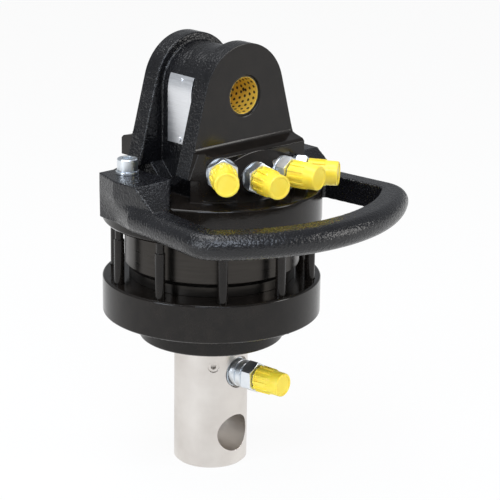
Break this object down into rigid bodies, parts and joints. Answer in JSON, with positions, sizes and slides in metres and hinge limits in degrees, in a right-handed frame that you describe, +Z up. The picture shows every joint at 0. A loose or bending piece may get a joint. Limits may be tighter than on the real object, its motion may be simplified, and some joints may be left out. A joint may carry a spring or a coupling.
{
  "type": "hydraulic rotator",
  "caption": "Hydraulic crane rotator with a forked pin head, bolted vane motor, front hose guard and a through-turning lower shaft with a link eye.",
  "frame": {"origin": "centre of the shaft's lower end face", "axes": "+Z up along the turning axis towards the head; the hose guard and the head ports face -Y; the head pin and the shaft eye lie along Y"},
  "size_m": [0.2198, 0.2401, 0.3462],
  "materials": {
    "gloss_black": "gloss textured paint",
    "machined_steel": "fine turned",
    "hardened_steel": "ground",
    "zinc_steel": "zinc plated",
    "yellow_plastic": "moulded",
    "bronze": "plain bearing bronze",
    "seal_rubber": "matt",
    "plate_alloy": "satin"
  },
  "bodies": {
    "head": {"head_casting": "gloss_black", "pin_bush_front": "bronze", "pin_bush_rear": "bronze", "type_plate": "plate_alloy", "type_plate_rivets": "plate_alloy", "stator_ring": "gloss_black", "stator_orings": "seal_rubber", "stator_dowels": "hardened_steel", "lower_cover": "gloss_black", "cover_screws": "gloss_black", "upper_bush": "bronze", "lower_bush": "bronze", "thrust_washer_lower": "hardened_steel", "swivel_seals": "seal_rubber", "shaft_seal": "seal_rubber", "wiper_ring": "seal_rubber", "hose_guard": "gloss_black", "guard_screws": "zinc_steel", "guard_lock_washers": "zinc_steel", "port_fittings": "zinc_steel", "port_washers": "zinc_steel", "port_caps": "yellow_plastic"},
    "shaft": {"rotor_shaft": "machined_steel", "vanes": "hardened_steel", "vane_springs": "hardened_steel", "thrust_washer_upper": "hardened_steel", "shaft_fittings": "zinc_steel", "shaft_washers": "zinc_steel", "shaft_caps": "yellow_plastic", "shaft_gallery_plugs": "hardened_steel"},
    "thrust_cage": {"roller_cage": "bronze", "bearing_rollers": "hardened_steel"}
  },
  "joints": [
    {"name": "shaft_turn", "type": "hinge", "parent": "head", "child": "shaft", "pos_m": [0, 0, 0], "axis": [0, 0, 1], "continuous": true},
    {"name": "cage_turn", "type": "hinge", "parent": "head", "child": "thrust_cage", "pos_m": [0, 0, 0.1508], "axis": [0, 0, 1], "continuous": true}
  ],
  "couplings": [
    {"joint": "cage_turn", "follows": "shaft_turn", "ratio": 0.5}
  ]
}
